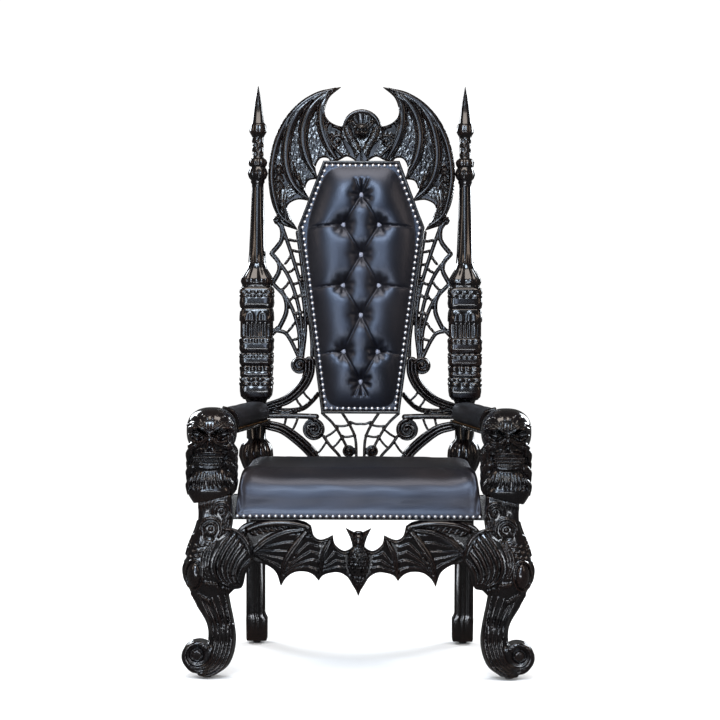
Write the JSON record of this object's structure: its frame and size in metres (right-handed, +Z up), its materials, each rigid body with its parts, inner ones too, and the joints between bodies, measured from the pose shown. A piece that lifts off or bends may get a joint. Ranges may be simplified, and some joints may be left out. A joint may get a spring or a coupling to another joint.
{
  "type": "carved high-backed throne",
  "caption": "Tall carved armchair throne with a coffin-shaped buttoned back, bat-wing crest and apron, web panels and skull arm fronts.",
  "frame": {"origin": "middle of the base, on the floor, under the centre of the overall box", "axes": "+X to the viewer's right, -Y out of the front, +Z up"},
  "size_m": [0.9746, 0.7625, 1.7212],
  "materials": {
    "lacquer": "gloss black lacquer over carved hardwood, dark brown in the worn edges",
    "leather": "smooth black leather with a soft sheen",
    "button": "small covered buttons, grey",
    "silver_nail": "domed nails, bright silver",
    "bronze_nail": "domed nails, aged bronze",
    "glide": "dull dark floor glides"
  },
  "bodies": {
    "root": {"crest": "lacquer", "coffin_frame": "lacquer", "back_board": "lacquer", "back_pad": "leather", "back_button_01": "button", "back_button_02": "button", "back_button_03": "button", "back_button_04": "button", "back_button_05": "button", "back_button_06": "button", "back_button_07": "button", "back_button_08": "button", "back_button_09": "button", "back_button_10": "button", "side_web_right": "lacquer", "side_web_left": "lacquer", "lower_web": "lacquer", "back_post_right": "lacquer", "back_post_left": "lacquer", "seat_rail_front": "lacquer", "seat_rail_right": "lacquer", "seat_rail_left": "lacquer", "seat_rail_back": "lacquer", "seat_pad": "leather", "front_leg_right": "lacquer", "front_leg_left": "lacquer", "arm_skull_right": "lacquer", "arm_skull_left": "lacquer", "arm_rail_right": "lacquer", "arm_rail_left": "lacquer", "arm_pad_right": "leather", "arm_pad_left": "leather", "bat_apron": "lacquer", "glide_front_right": "glide", "glide_front_left": "glide", "glide_back_right": "glide", "glide_back_left": "glide"}
  },
  "joints": []
}
